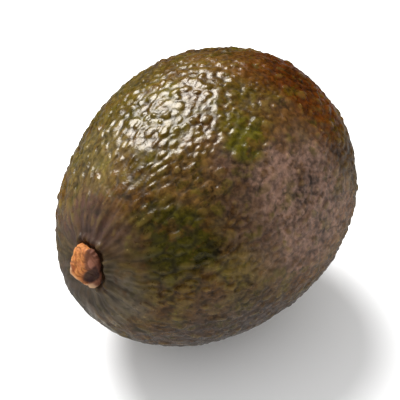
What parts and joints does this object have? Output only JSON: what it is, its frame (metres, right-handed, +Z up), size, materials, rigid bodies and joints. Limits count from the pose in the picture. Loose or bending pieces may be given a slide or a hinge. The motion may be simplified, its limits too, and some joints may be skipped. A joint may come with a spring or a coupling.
{
  "type": "avocado",
  "caption": "Whole ripe avocado with pebbly olive and purple-brown skin and a dry woody stem button, lying on its side on a small flat spot.",
  "frame": {"origin": "on the small flat spot that the fruit rests on, straight below the middle of its weight", "axes": "+Z up from the surface it lies on; +X along the fruit's length, towards the stem end; +Y across it"},
  "size_m": [0.0907, 0.071, 0.0703],
  "materials": {
    "skin": "pebbly and waxy, mottled olive green, brown and purple brown",
    "dry_stem": "dry, cracked, orange tan with a dark scar"
  },
  "bodies": {
    "root": {"fruit": "skin", "stem_button": "dry_stem"}
  },
  "joints": []
}
